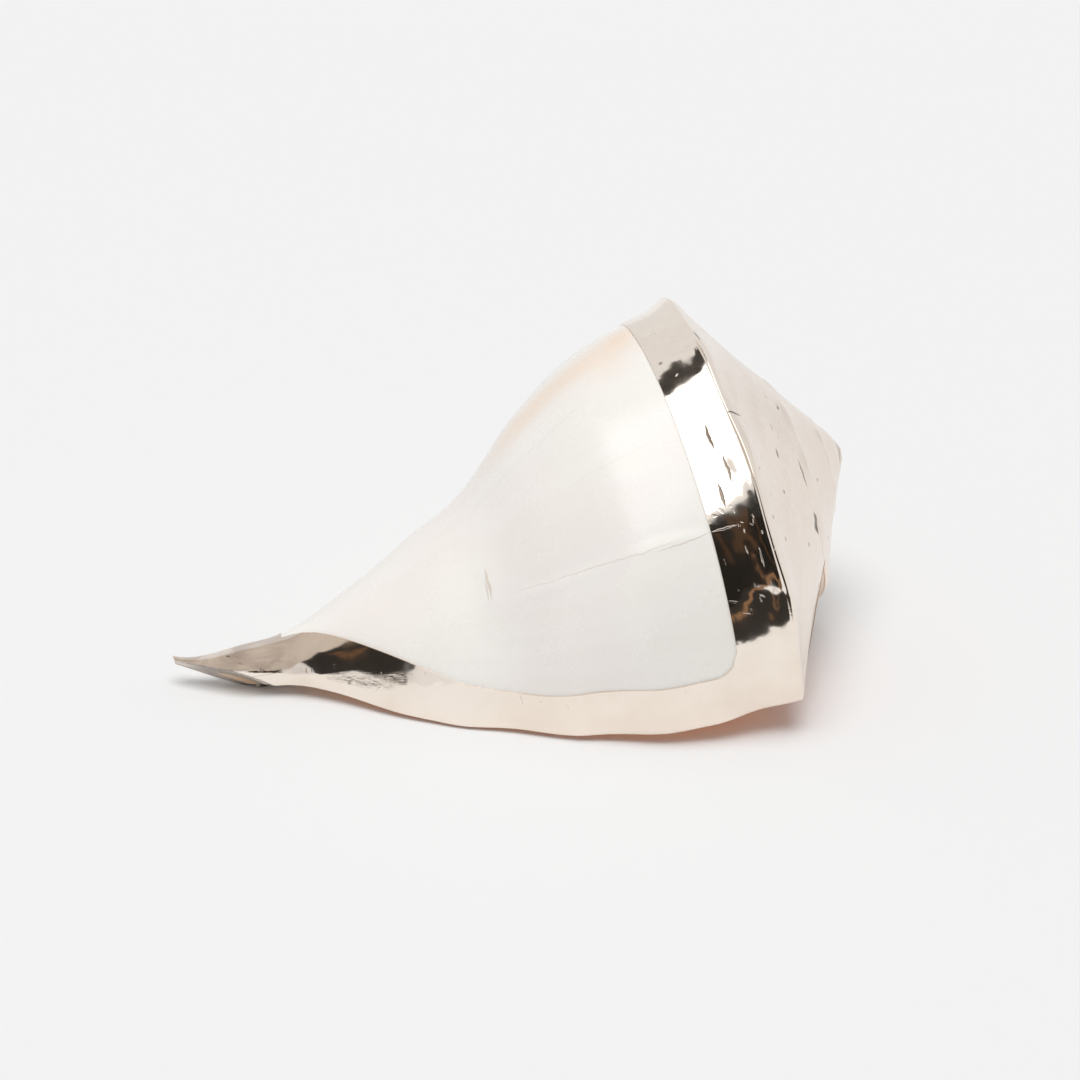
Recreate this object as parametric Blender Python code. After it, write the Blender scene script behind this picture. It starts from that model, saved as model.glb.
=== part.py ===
"""A left-handed whelk shell lying on its aperture, with a thin skin of silver over its spire, lip and canal."""

import math

import bmesh
import bpy
import numpy as np
from mathutils import Vector

MM = 0.001
TURN = 2 * math.pi
SHARP_OVER = math.radians(40)

# Growth. A whorl angle is 0 at the outer lip and grows backwards along the shell's tube, towards the apex.
SHELL_LENGTH = 180 * MM
GROWTH_PER_TURN = 2.18
TURNS = 3
COLUMNS = 36

# Outline of the last whorl at the lip, as (distance from the apex along the axis, radius) in millimetres.
SHOULDER = (43.7, 68.7)
UNDER_SHOULDER = (45.3, 69.1)
RAMP_HOLLOW = 0.4
APEX_BLUNT = 1.0 * MM
BODY = [(48.5, 68.6), (56.0, 66.7), (67.0, 64.8), (80.0, 61.2), (95.0, 48.4), (110.0, 30.8)]
CANAL = [(125.0, 21.7), (140.0, 14.3), (155.0, 7.2), (168.0, 5.2), (180.0, 0.9)]

# The foot of the last whorl flares out at the lip.
FLARE = 0.67
FLARE_AT = 126 * MM
FLARE_LENGTH = 25 * MM
FLARE_POWER = 2.6
FLARE_ANGLE = 0.9

# The canal keeps its length over the last turn, gets rounder to its end, and curves away from the aperture.
HELD_FROM = 39 * MM
ROUND_FROM = 120 * MM
ROUND_LENGTH = 50 * MM
ROUNDNESS = 0.6
BEND = 10.6 * MM
BEND_FROM = 145.5 * MM
BEND_POWER = 3.2
BEND_ANGLE = 2.86

# Low, worn knobs along the shoulder.
KNOB_HEIGHT = 1.0 * MM
KNOB_SPACING = 0.56
KNOB_FIRST = 0.405
KNOB_WIDTH = 0.17
KNOB_LENGTH = 5 * MM

# The hollow inside: a wall under the outer surface, which thins deep inside, and a glaze over the whorl before.
WALL = 2.6 * MM
WALL_THINS = 0.3
GLAZE = 1.1 * MM
HOLLOW_START = math.radians(-9)
HOLLOW_END = math.radians(420)
HOLLOW_COLUMNS = 40
HOLLOW_TOP = 29 * MM
HOLLOW_FOOT = 150 * MM
FOOT_RISES = 34 * MM
CORE_FROM = 50 * MM
CORE_PAST_FOOT = 10 * MM
CORE_MOST = 0.6

# The gutter of the canal, as (distance along the axis, radius, distance of centre from axis), in millimetres.
GUTTER = [(126, 3.2, 6.0), (135, 4.0, 5.4), (146, 3.4, 4.0), (156, 2.3, 3.0), (165, 1.7, 2.4), (174, 1.1, 1.8)]
GUTTER_ANGLE = math.radians(-5)
GUTTER_SIDES = 12

# The slanting end of the canal: where its plane crosses the axis, its slope to the axis and the side it faces.
END_AT = 166.8 * MM
END_SLOPE = math.radians(38.4)
END_ANGLE = math.radians(-22.8)
END_BLOCK = (40 * MM, 60 * MM, 60 * MM)

# The silver skin lies proud of the outline and the shell just inside it.
SHELL_INSET = 0.6 * MM
SKIN_GAP = 0.3 * MM
SKIN_THICKNESS = 0.55 * MM
SHELL_COLOUR = (0.86, 0.82, 0.78)
SILVER_COLOUR = (0.80, 0.76, 0.69)

# The bare white of the last whorl, and the silver rim along the lip, which narrows where the lip flares.
BARE_FROM = 58.5 * MM
BARE_TO = 156 * MM
RIM_WIDTH = 12.9 * MM
RIM_NARROWS = 4.4 * MM
RIM_NARROW_AT = 111 * MM
RIM_NARROW_LENGTH = 19 * MM
CORNER = 6 * MM
CORNER_ROWS = [0.0, 0.8, 2.2, 4.2, 7.5]
BARE_END = math.radians(363)
BARE_ROWS = 15
BARE_COLUMNS = 34
BARE_UNDER = 1.6 * MM
BARE_OVER = 2.2 * MM

# How the shell lies.
ROLL = math.radians(-69.1)
PITCH = math.radians(-14.4)
YAW = math.radians(18.1)


def clear_scene():
    for item in list(bpy.data.objects):
        bpy.data.objects.remove(item, do_unlink=True)


def smooth(x):
    x = np.clip(x, 0.0, 1.0)
    return x * x * (3 - 2 * x)


def curve_through(points, steps):
    """Points on a smooth curve through the given ones, with steps[k] of them from point k to the next."""
    points = [np.array(point, float) for point in points]
    points = [2 * points[0] - points[1]] + points + [2 * points[-1] - points[-2]]
    curve = []
    for k, count in enumerate(steps):
        a, b, c, d = points[k:k + 4]
        for u in np.arange(count) / count:
            curve.append(0.5 * (2 * b + (c - a) * u + (2 * a - 5 * b + 4 * c - d) * u ** 2
                                + (3 * b - a - 3 * c + d) * u ** 3))
    curve.append(points[-2])
    return np.array(curve)


def lip_outline():
    """The outline's rows in metres, and the number of the row where the next whorl's suture lies on this one."""
    suture = np.array(UNDER_SHOULDER) / GROWTH_PER_TURN
    ramp = np.array(SHOULDER) - suture
    hollow = np.array([RAMP_HOLLOW, 0.0])
    points = [suture, suture + 0.4 * ramp + hollow, suture + 0.8 * ramp + hollow, SHOULDER, UNDER_SHOULDER]
    covered = len(points) - 1
    points += BODY + CANAL
    steps = [1] * (covered + 2) + [2] * (len(points) - covered - 3)
    return curve_through(points, steps) * MM, covered


OUTLINE, COVERED = lip_outline()


def section(angle, along=None):
    """Distance along the axis and radius of the outline at a whorl angle, for the rows or a list along it."""
    along = OUTLINE[:, 0] if along is None else np.asarray(along)
    radius = np.interp(along, OUTLINE[:, 0], OUTLINE[:, 1])
    grown = GROWTH_PER_TURN ** (-angle / TURN)
    last_turn = 1 - smooth((angle - TURN) / (TURN / 2))
    held = smooth((along - HELD_FROM) / (SHELL_LENGTH - HELD_FROM)) * last_turn
    rounded = ROUNDNESS * smooth((along - ROUND_FROM) / ROUND_LENGTH) * last_turn
    flare = FLARE * np.exp(-np.abs((along - FLARE_AT) / FLARE_LENGTH) ** FLARE_POWER)
    flare = flare * math.exp(-max(angle, 0) / FLARE_ANGLE)
    to_knob = (angle - KNOB_FIRST + KNOB_SPACING / 2) % KNOB_SPACING - KNOB_SPACING / 2
    knob = KNOB_HEIGHT * grown * math.exp(-(to_knob / KNOB_WIDTH) ** 2)
    knob = knob * np.exp(-((along - SHOULDER[0] * MM) / KNOB_LENGTH) ** 2)
    reach = along * (grown + (1 - grown) * held) - 0.5 * knob
    return np.stack([reach, radius * (grown + (1 - grown) * rounded) * (1 + flare) + knob], axis=1)


def offset(rows, distance):
    """Rows of a section moved outwards, square to the outline."""
    along = np.gradient(rows, axis=0)
    along /= np.linalg.norm(along, axis=1, keepdims=True)
    return rows + np.stack([-along[:, 1], along[:, 0]], axis=1) * distance


def place(point, angle, ahead=0.0):
    """A point of a section in the shell's own frame: apex at the origin, axis along -X, lip straight down."""
    reach, radius = point
    bend = BEND * max((reach - BEND_FROM) / (SHELL_LENGTH - BEND_FROM), 0.0) ** BEND_POWER
    y = -radius * math.sin(angle) + ahead * math.cos(angle) - bend * math.sin(BEND_ANGLE)
    z = -radius * math.cos(angle) - ahead * math.sin(angle) - bend * math.cos(BEND_ANGLE)
    return (-reach, y, z)


def new_mesh(name, verts, faces):
    mesh = bpy.data.meshes.new(name)
    mesh.from_pydata(verts, [], faces)
    item = bpy.data.objects.new(name, mesh)
    bpy.context.collection.objects.link(item)
    bm = bmesh.new()
    bm.from_mesh(mesh)
    bmesh.ops.recalc_face_normals(bm, faces=bm.faces)
    bmesh.ops.triangulate(bm, faces=bm.faces)
    bm.to_mesh(mesh)
    bm.free()
    mesh.shade_smooth()
    mesh.set_sharp_from_angle(angle=SHARP_OVER)
    return item


def tube_faces(rings, sides):
    """Faces of a closed tube: its sides, then a cap at each end."""
    faces = []
    for i in range(rings - 1):
        for j in range(sides):
            k = (j + 1) % sides
            faces.append([i * sides + j, i * sides + k, (i + 1) * sides + k, (i + 1) * sides + j])
    faces.append(list(range(sides)))
    faces.append(list(range((rings - 1) * sides, rings * sides)))
    return faces


def outer_form(name, grow):
    """The closed outside: spire, last whorl and canal, with a flat face across the plane of the aperture."""
    rows = len(OUTLINE)
    last = COLUMNS * TURNS
    verts = []
    index = {}
    for i in range(last + 1):
        angle = TURN * i / COLUMNS
        points = offset(section(angle), grow)
        for j in range(1, rows if i <= COLUMNS else COVERED + 1):
            in_face = i == 0 or (i == COLUMNS and j >= COVERED)
            index[i, j] = len(verts)
            verts.append(place(points[j], angle, grow if in_face else 0.0))
        if i > last - COLUMNS:
            index[i, 0] = len(verts)
            verts.append(place(points[0], angle))
    for i in range(last - COLUMNS + 1):
        index[i, 0] = index[i + COLUMNS, COVERED]
    faces = []
    for i in range(last):
        for j in range(rows - 1 if i < COLUMNS else COVERED):
            faces.append([index[i, j], index[i + 1, j], index[i + 1, j + 1], index[i, j + 1]])
    for j in range(1, COVERED):
        faces.append([index[0, 0], index[0, j], index[0, j + 1]])
    for j in range(COVERED, rows - 1):
        faces.append([index[0, j], index[COLUMNS, j], index[COLUMNS, j + 1], index[0, j + 1]])
    faces.append([index[i, rows - 1] for i in range(COLUMNS + 1)])
    apex = len(verts)
    verts.append((grow - APEX_BLUNT, 0, 0))
    loop = [index[i, 0] for i in range(last - COLUMNS, last + 1)] + [index[last, j] for j in range(1, COVERED)]
    for a, b in zip(loop, loop[1:] + loop[:1]):
        faces.append([a, b, apex])
    return new_mesh(name, verts, faces)


def hollow_form():
    """The room inside: from just outside the aperture, back along the whorl to where it is out of sight."""
    outer = np.linspace(0, 1, 11)
    inner = np.linspace(1, 0, 7)
    verts = []
    for angle in np.linspace(HOLLOW_START, HOLLOW_END, HOLLOW_COLUMNS + 1):
        deep = smooth(angle / TURN)
        foot = HOLLOW_FOOT - FOOT_RISES * deep
        wall = section(angle, HOLLOW_TOP + (foot - HOLLOW_TOP) * outer ** 1.1)
        core = section(angle + TURN, CORE_FROM + (foot + CORE_PAST_FOOT - CORE_FROM) * inner)
        wall = offset(wall, -WALL * (1 - WALL_THINS * deep))
        core = offset(core[::-1], GLAZE)[::-1]
        core[:, 1] = np.minimum(core[:, 1], CORE_MOST * np.interp(core[:, 0], wall[:, 0], wall[:, 1]))
        verts += [place(point, angle) for point in np.concatenate([wall, core])]
    return new_mesh("hollow", verts, tube_faces(HOLLOW_COLUMNS + 1, len(outer) + len(inner)))


def gutter_form():
    verts = []
    for reach, radius, centre in np.array(GUTTER) * MM:
        for side in range(GUTTER_SIDES):
            turn = TURN * side / GUTTER_SIDES
            x, y, z = place((reach, centre), GUTTER_ANGLE)
            verts.append((x, y + radius * math.sin(turn), z + radius * math.cos(turn)))
    return new_mesh("gutter", verts, tube_faces(len(GUTTER), GUTTER_SIDES))


def end_cutter():
    """A block whose face is the slanting end of the canal."""
    bm = bmesh.new()
    bmesh.ops.create_cube(bm, size=1.0)
    bmesh.ops.translate(bm, verts=bm.verts, vec=(0.5, 0, 0))
    bmesh.ops.scale(bm, verts=bm.verts, vec=END_BLOCK)
    mesh = bpy.data.meshes.new("canal_end")
    bm.to_mesh(mesh)
    bm.free()
    item = bpy.data.objects.new("canal_end", mesh)
    bpy.context.collection.objects.link(item)
    item.location = (-END_AT, 0, 0)
    facing = np.array([-math.sin(END_SLOPE), -math.cos(END_SLOPE) * math.sin(END_ANGLE),
                       -math.cos(END_SLOPE) * math.cos(END_ANGLE)])
    item.rotation_mode = "QUATERNION"
    item.rotation_quaternion = Vector(facing).to_track_quat("X", "Z")
    return item


def rim_angle(along):
    """The whorl angle at which the silver rim of the lip ends."""
    width = RIM_WIDTH - RIM_NARROWS * math.exp(-((along - RIM_NARROW_AT) / RIM_NARROW_LENGTH) ** 2)
    angle = 0.2
    for _ in range(12):
        angle = width / section(angle, [along])[0, 1]
    into_corner = max(CORNER - (along - BARE_FROM), 0.0)
    rounding = CORNER - math.sqrt(CORNER ** 2 - into_corner ** 2)
    return angle + rounding / section(angle, [along])[0, 1]


def bare_form():
    """The stretch of the last whorl that the silver leaves bare, as a thick patch through the skin."""
    corner = BARE_FROM + np.array(CORNER_ROWS) * MM
    alongs = np.concatenate([corner, np.linspace(corner[-1], BARE_TO, BARE_ROWS + 1)[1:]])
    starts = [rim_angle(along) for along in alongs]
    verts = []
    for i in range(BARE_COLUMNS + 1):
        under, over = [], []
        for along, start in zip(alongs, starts):
            angle = start + (BARE_END - start) * i / BARE_COLUMNS
            around = section(angle, [along - 1 * MM, along, along + 1 * MM])
            under.append(place(offset(around, -BARE_UNDER)[1], angle))
            over.append(place(offset(around, BARE_OVER)[1], angle))
        verts += under + over[::-1]
    return new_mesh("bare", verts, tube_faces(BARE_COLUMNS + 1, 2 * len(alongs)))


def cutter(item):
    item.hide_render = True
    item.display_type = "WIRE"
    return item


def cut(item, *others):
    """Cuts the others out of an item. EXACT leaves nothing of these thin walls, so it's MANIFOLD."""
    for other in others:
        boolean = item.modifiers.new(other.name, "BOOLEAN")
        boolean.operation = "DIFFERENCE"
        boolean.solver = "MANIFOLD"
        boolean.object = other


def finish(name, colour, roughness, metallic):
    material = bpy.data.materials.new(name)
    material.use_nodes = True
    shader = material.node_tree.nodes["Principled BSDF"]
    shader.inputs["Base Color"].default_value = (*colour, 1)
    shader.inputs["Roughness"].default_value = roughness
    shader.inputs["Metallic"].default_value = metallic
    return material


def main():
    clear_scene()
    rest = bpy.data.objects.new("rest", None)
    bpy.context.collection.objects.link(rest)
    rest.rotation_euler = (ROLL, PITCH, YAW)

    hollow = cutter(hollow_form())
    gutter = cutter(gutter_form())
    end = cutter(end_cutter())
    bare = cutter(bare_form())
    under_skin = cutter(outer_form("under_skin", SKIN_GAP - SHELL_INSET))

    shell = outer_form("shell", -SHELL_INSET)
    shell.data.materials.append(finish("polished_shell", SHELL_COLOUR, 0.25, 0.0))
    cut(shell, hollow, gutter, end)

    skin = outer_form("silver_plating", SKIN_GAP + SKIN_THICKNESS - SHELL_INSET)
    skin.data.materials.append(finish("silver", SILVER_COLOUR, 0.12, 1.0))
    cut(skin, under_skin, hollow, gutter, end, bare)

    for item in (hollow, gutter, end, bare, under_skin, shell, skin):
        item.parent = rest

    bpy.context.view_layer.update()
    graph = bpy.context.evaluated_depsgraph_get()
    corners = []
    for item in (shell, skin):
        solid = item.evaluated_get(graph)
        mesh = solid.to_mesh()
        corners += [item.matrix_world @ vert.co for vert in mesh.vertices]
        solid.to_mesh_clear()
    corners = np.array(corners)
    low, high = corners.min(axis=0), corners.max(axis=0)
    rest.location = (-(low[0] + high[0]) / 2, -(low[1] + high[1]) / 2, -low[2])


main()
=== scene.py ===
import math

import bmesh
import bpy
import numpy as np
from mathutils import Euler, Matrix, Vector
from mathutils.kdtree import KDTree


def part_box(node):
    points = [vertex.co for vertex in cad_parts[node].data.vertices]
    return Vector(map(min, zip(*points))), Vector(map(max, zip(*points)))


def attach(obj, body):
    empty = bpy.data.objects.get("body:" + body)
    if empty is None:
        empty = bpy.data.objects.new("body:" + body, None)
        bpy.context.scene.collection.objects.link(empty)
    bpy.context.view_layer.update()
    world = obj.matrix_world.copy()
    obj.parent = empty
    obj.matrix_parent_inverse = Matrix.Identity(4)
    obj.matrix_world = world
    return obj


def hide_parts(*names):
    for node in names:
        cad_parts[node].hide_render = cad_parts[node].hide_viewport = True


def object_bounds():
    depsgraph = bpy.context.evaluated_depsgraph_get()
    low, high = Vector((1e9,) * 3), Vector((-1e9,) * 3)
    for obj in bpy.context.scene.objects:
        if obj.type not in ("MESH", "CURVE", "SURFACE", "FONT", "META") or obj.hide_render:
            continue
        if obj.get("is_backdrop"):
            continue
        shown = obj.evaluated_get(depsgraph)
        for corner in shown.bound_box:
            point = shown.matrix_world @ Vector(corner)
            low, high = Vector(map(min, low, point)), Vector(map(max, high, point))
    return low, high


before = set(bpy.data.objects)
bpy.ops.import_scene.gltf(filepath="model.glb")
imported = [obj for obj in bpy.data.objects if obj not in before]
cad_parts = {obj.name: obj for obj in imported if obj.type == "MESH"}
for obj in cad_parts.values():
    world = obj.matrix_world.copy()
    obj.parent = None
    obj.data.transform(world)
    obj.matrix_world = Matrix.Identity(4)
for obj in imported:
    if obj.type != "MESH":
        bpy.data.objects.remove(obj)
cadLow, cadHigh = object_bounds()  # the box of the plain solids
mm = 0.001
turn = 2 * math.pi
perRadian = 57.3  # degrees

whorl = {  # the growing outline: distance from the apex along the axis, then radius, in millimetres at the lip
    "length": 180 * mm,
    "growthPerTurn": 2.18,
    "turns": 3,
    "shoulder": (43.7, 68.7),
    "underShoulder": (45.3, 69.1),
    "rampHollow": 0.4,
    "apexBlunt": 1.0 * mm,
    "body": [(48.5, 68.6), (56.0, 66.7), (67.0, 64.8), (80.0, 61.2), (95.0, 48.4), (110.0, 30.8)],
    "canal": [(125.0, 21.7), (140.0, 14.3), (155.0, 7.2), (168.0, 5.2), (180.0, 0.9)],
    "flare": 0.67, "flareAt": 126 * mm, "flareLength": 25 * mm, "flarePower": 2.6, "flareAngle": 0.9,
    "heldFrom": 39 * mm, "roundFrom": 120 * mm, "roundLength": 50 * mm, "roundness": 0.6,
    "bend": 10.6 * mm, "bendFrom": 145.5 * mm, "bendPower": 3.2, "bendAngle": 2.86,
    "knobHeight": 1.0 * mm, "knobSpacing": 0.56, "knobFirst": 0.405, "knobWidth": 0.17, "knobLength": 5 * mm,
    "fullness": [  # soft swells of the outline: whorl angle and distance along, their half widths, height
        (130, 104, 50, 13, 1.3), (137, 164, 60, 11, 1.4), (131, 78, 30, 6, -0.8), (131, 49, 25, 5, -0.9),
        (130, 124, 40, 8, 1.2), (115, 37, 25, 7, 0.8), (0, 91, 16, 15, 2.2), (0, 66, 16, 12, 2.0),
        (0, 131, 16, 10, 0.8), (345, 38, 14, 9, 1.3),
        (27, 44.0, 5, 2.4, 0.6), (60, 41.5, 7, 3, 0.8), (18, 47, 5, 3, 0.4), (92, 42, 6, 3, 0.4)],
    "edge": [  # the ridge beside the canal: distance along, whorl angle
        (142, 17.5), (146, 18.2), (149, 19.8), (155, 25), (161, 38.5), (167, 51), (175, 52)],
    "edgeHeight": 0.9, "edgeWidth": 2.6, "edgeRound": 0.2, "edgeFrom": 141, "edgeFades": 9,
    "lie": (-69.1, -14.4, 18.1),  # roll, pitch and yaw in degrees
}

room = {  # the hollow inside
    "wall": 2.6 * mm,
    "glaze": 1.1 * mm,
    "start": -9.0,
    "end": 420.0,
    "top": 29 * mm, "topAhead": 20 * mm,  # how far it moves ahead of the lip
    "foot": 150 * mm, "footAhead": 22 * mm, "footDeep": 34 * mm,
    "core": 50 * mm, "coreAhead": 8 * mm, "corePastFoot": 10 * mm,
    "lipRound": 0.7 * mm,
    "gutter": [  # along the canal: reach, radius and distance from the axis
        (126, 3.2, 6.0), (135, 4.0, 5.4), (146, 3.4, 4.0), (156, 2.3, 3.0), (165, 1.7, 2.4), (174, 1.1, 1.8)],
    "gutterAngle": math.radians(-5),
    "endAt": 166.8 * mm, "endSlope": math.radians(38.4), "endAngle": math.radians(-22.8),
}


def smooth(x):
    x = np.clip(x, 0.0, 1.0)
    return x * x * (3 - 2 * x)


def curveThrough(points, steps):
    points = [np.array(point, float) for point in points]
    points = [2 * points[0] - points[1]] + points + [2 * points[-1] - points[-2]]
    curve = []
    for k, count in enumerate(steps):
        a, b, c, d = points[k:k + 4]
        for u in np.arange(count) / count:
            curve.append(0.5 * (2 * b + (c - a) * u + (2 * a - 5 * b + 4 * c - d) * u ** 2
                                + (3 * b - a - 3 * c + d) * u ** 3))
    curve.append(points[-2])
    return np.array(curve)


def lipOutline(perPoint):
    suture = np.array(whorl["shoulder"]) / whorl["growthPerTurn"]
    ramp = np.array(whorl["shoulder"]) - suture
    hollow = np.array([whorl["rampHollow"], 0.0])
    points = [suture, suture + 0.4 * ramp + hollow, suture + 0.8 * ramp + hollow, whorl["shoulder"]]
    points.append(whorl["underShoulder"])
    points += whorl["body"] + whorl["canal"]
    return curveThrough(points, [perPoint] * (len(points) - 1)) * mm, 3 * perPoint


fineOutline = lipOutline(24)[0]


def section(angle, along):
    # reach along the axis and radius of the outline, for arrays of whorl angle and distance along it
    angle, along = np.broadcast_arrays(np.asarray(angle, float), np.asarray(along, float))
    w = whorl
    radius = np.interp(along, fineOutline[:, 0], fineOutline[:, 1])
    grown = w["growthPerTurn"] ** (-angle / turn)
    lastTurn = 1 - smooth((angle - turn) / (turn / 2))
    held = smooth((along - w["heldFrom"]) / (w["length"] - w["heldFrom"])) * lastTurn
    rounded = w["roundness"] * smooth((along - w["roundFrom"]) / w["roundLength"]) * lastTurn
    flare = w["flare"] * np.exp(-np.abs((along - w["flareAt"]) / w["flareLength"]) ** w["flarePower"])
    flare = flare * np.exp(-np.maximum(angle, 0) / w["flareAngle"])
    toKnob = (angle - w["knobFirst"] + w["knobSpacing"] / 2) % w["knobSpacing"] - w["knobSpacing"] / 2
    knob = w["knobHeight"] * grown * np.exp(-(toKnob / w["knobWidth"]) ** 2)
    knob = knob * np.exp(-((along - w["shoulder"][0] * mm) / w["knobLength"]) ** 2)
    reach = along * (grown + (1 - grown) * held) - 0.5 * knob
    radius = radius * (grown + (1 - grown) * rounded) * (1 + flare) + knob
    for atAngle, atAlong, angleWidth, alongWidth, height in w["fullness"]:
        off = ((np.degrees(angle) - atAngle) / angleWidth) ** 2 + ((along / mm - atAlong) / alongWidth) ** 2
        radius = radius + height * mm * np.exp(-off)
    edgeAlong, edgeAngle = zip(*w["edge"])
    fromEdge = (np.degrees(angle) - np.interp(along / mm, edgeAlong, edgeAngle)) * radius / mm / perRadian
    edge = w["edgeHeight"] * np.exp(-np.hypot(fromEdge, w["edgeRound"]) / w["edgeWidth"])
    edge = edge * smooth((along / mm - w["edgeFrom"]) / w["edgeFades"])
    return reach, radius + edge * mm


def inShell(reach, radius, angle, ahead=0.0):
    # the shell's own frame: apex at the origin, axis along -X, lip straight down
    bend = np.maximum((reach - whorl["bendFrom"]) / (whorl["length"] - whorl["bendFrom"]), 0.0)
    bend = whorl["bend"] * bend ** whorl["bendPower"]
    y = -radius * np.sin(angle) + ahead * np.cos(angle) - bend * math.sin(whorl["bendAngle"])
    z = -radius * np.cos(angle) - ahead * np.sin(angle) - bend * math.cos(whorl["bendAngle"])
    return np.stack([-reach, y, z], axis=-1)


def pushed(angle, along, distance):
    # reach and radius of surface points pushed out by a distance, square to the outline
    reach, radius = section(angle, along)
    ahead, behind = section(angle, along + 1e-4), section(angle, along - 1e-4)
    dReach, dRadius = ahead[0] - behind[0], ahead[1] - behind[1]
    length = np.hypot(dReach, dRadius)
    return reach - dRadius / length * distance, radius + dReach / length * distance


def grid(angle, along, distance, ahead=0.0):
    return inShell(*pushed(angle, along, distance), angle, ahead)


def ripples(u, v, wavelength, count, seed):
    # soft random swells of about one wavelength, between roughly -1 and 1
    rng = np.random.default_rng(seed)
    total = np.zeros(np.broadcast(u, v).shape)
    for _ in range(count):
        heading, phase, spread = rng.uniform(0, turn), rng.uniform(0, turn), rng.uniform(0.7, 1.4)
        total += np.sin((u * math.cos(heading) + v * math.sin(heading)) * turn / (wavelength * spread) + phase)
    return total / math.sqrt(count)


plating = {  # the silver skin
    "proud": 0.25 * mm,
    "under": -0.30 * mm,
    "bareFrom": 58.5 * mm, "bareTo": 156 * mm, "bareEnd": math.radians(363),
    "rimWidth": 12.9 * mm, "rimNarrows": 4.4 * mm, "rimNarrowAt": 111 * mm, "rimNarrowLength": 19 * mm,
    "corner": 6 * mm,
    # near the canal tip the silver is darker: partly its own tarnish, partly painted shade that dims the
    # reflected highlight there
    "tarnishAndShadeFrom": 143, "tarnishAndShadeLength": 16, "tarnishAndShadeSoft": 5,  # along in millimetres, then degrees
    "wave": 0.055 * mm, "waveLength": 13 * mm, "hammer": 0.012 * mm, "hammerLength": 4 * mm,
    "dents": [  # whorl angle, distance along, half length, half width, depth, in degrees and millimetres
        (92.5, 43.7, 2.4, 1.2, 0.15), (67.5, 42.4, 1.0, 2.2, 0.20), (81.0, 22.4, 1.2, 1.2, 0.20),
        (56.0, 30.8, 1.6, 1.2, 0.15), (23.0, 22.6, 1.4, 1.2, 0.40), (2.8, 41.0, 1.4, 1.2, 0.20),
        (64.0, 51.4, 3.2, 1.0, 0.08), (55.8, 49.9, 2.0, 1.0, 0.08), (50.5, 53.3, 2.2, 1.0, 0.08)],
}


marks = {  # low relief on the white: whorl angle in degrees, distance along in millimetres
    "growthLines": [  # whorl angle, first and last end, height
        (89, 66, 118, 0.16), (69, 60, 96, 0.12), (43.5, 52, 108, 0.20), (24, 70, 120, 0.03),
        (118, 60, 140, 0.10), (150, 60, 130, 0.10), (205, 60, 140, 0.14), (262, 60, 130, 0.10)],
    "lineWidth": 1.1,
    "scar": (50.5, 109.6, 9.0, 1.0, 0.30),  # place, half length in degrees, half width, height
    "furrow": (114.5, 3.0, 0.25, 20, 88),  # distance along, half width, depth, first and last angle
    "sunk": 0.45 * mm,  # lower under the silver
    "swell": 0.10 * mm,
    "swellLength": 26 * mm,
}


def rimAngle(along):
    # the whorl angle where the silver rim of the lip ends
    p = plating
    width = p["rimWidth"] - p["rimNarrows"] * np.exp(-((along - p["rimNarrowAt"]) / p["rimNarrowLength"]) ** 2)
    angle = 0.2
    for _ in range(14):
        angle = np.clip(width / section(angle, along)[1], 0, 4)
    into = np.maximum(p["corner"] - (along - p["bareFrom"]), 0.0)
    rounding = p["corner"] - np.sqrt(np.maximum(p["corner"] ** 2 - into ** 2, 0.0))
    return angle + rounding / section(angle, along)[1]


def bareness(angle, along):
    # distance into the bare white, negative under the silver
    reach, radius = section(angle, along)
    around = np.minimum(angle - rimAngle(along), plating["bareEnd"] - angle) * radius
    return np.minimum(around, np.minimum(along - plating["bareFrom"], plating["bareTo"] - along))


tints = {  # whorl angle, distance along, half widths, strength
    "orangeTint": [(112, 92, 9, 10, 0.6), (109, 76, 8, 10, 0.58), (113, 62, 9, 7, 0.7), (100, 68, 6, 5, 0.2)],
    # the shell's own pink, and on the left of the body also painted shade that darkens the white
    "pinkTintAndShade": [(95, 118, 30, 12, 0.85), (60, 92, 25, 14, 0.35), (120, 104, 20, 10, 0.6),
                 (55, 134, 26, 12, 0.65), (25, 76, 16, 12, 0.3), (14, 100, 12, 14, 0.35)],
    "stain": [(52, 169, 3, 3.5, 0.30), (64, 169, 12, 2.5, 0.22), (88, 167, 14, 3, 0.3),
              (23, 22.6, 1.2, 0.5, 0.6)],
    "scuff": [(16, 143, 2.6, 3, 1.0), (14, 139, 2, 2.5, 0.9), (17.5, 133.5, 1.5, 1.5, 0.6)],
}


def whiteRelief(angle, along):
    degrees = np.degrees(angle)
    reach, radius = section(angle, along)
    relief = marks["swell"] * ripples(radius * angle, reach, marks["swellLength"], 7, 3)
    for at, first, last, height in marks["growthLines"]:
        wander = at + 1.2 * np.sin(along / mm / 9.0 + at)
        inside = smooth((along / mm - first) / 10) * smooth((last - along / mm) / 12)
        across = (degrees - wander) * np.radians(1) * radius / mm / marks["lineWidth"]
        relief += height * mm * inside * np.exp(-across ** 2)
        relief -= 0.6 * height * mm * inside * np.exp(-((across - 2.2) / 1.6) ** 2)
    at, middle, halfLength, halfWidth, height = marks["scar"]
    lengthwise = (degrees - at) / halfLength
    across = (along / mm - middle - 0.5 * np.sin(lengthwise * 4)) / halfWidth
    relief += height * mm * np.exp(-across ** 2 - lengthwise ** 4)
    relief -= height * mm * np.exp(-((across - 1.6) / 0.7) ** 2 - lengthwise ** 4)
    middle, halfWidth, depth, first, last = marks["furrow"]
    inside = smooth((degrees - first) / 12) * smooth((last - degrees) / 12)
    relief -= depth * mm * inside * np.exp(-((along / mm - middle) / halfWidth) ** 2)
    bare = bareness(angle, along)
    return relief * smooth(bare / (2 * mm)) - marks["sunk"] * smooth((-bare - 0.4 * mm) / (2 * mm))


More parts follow.
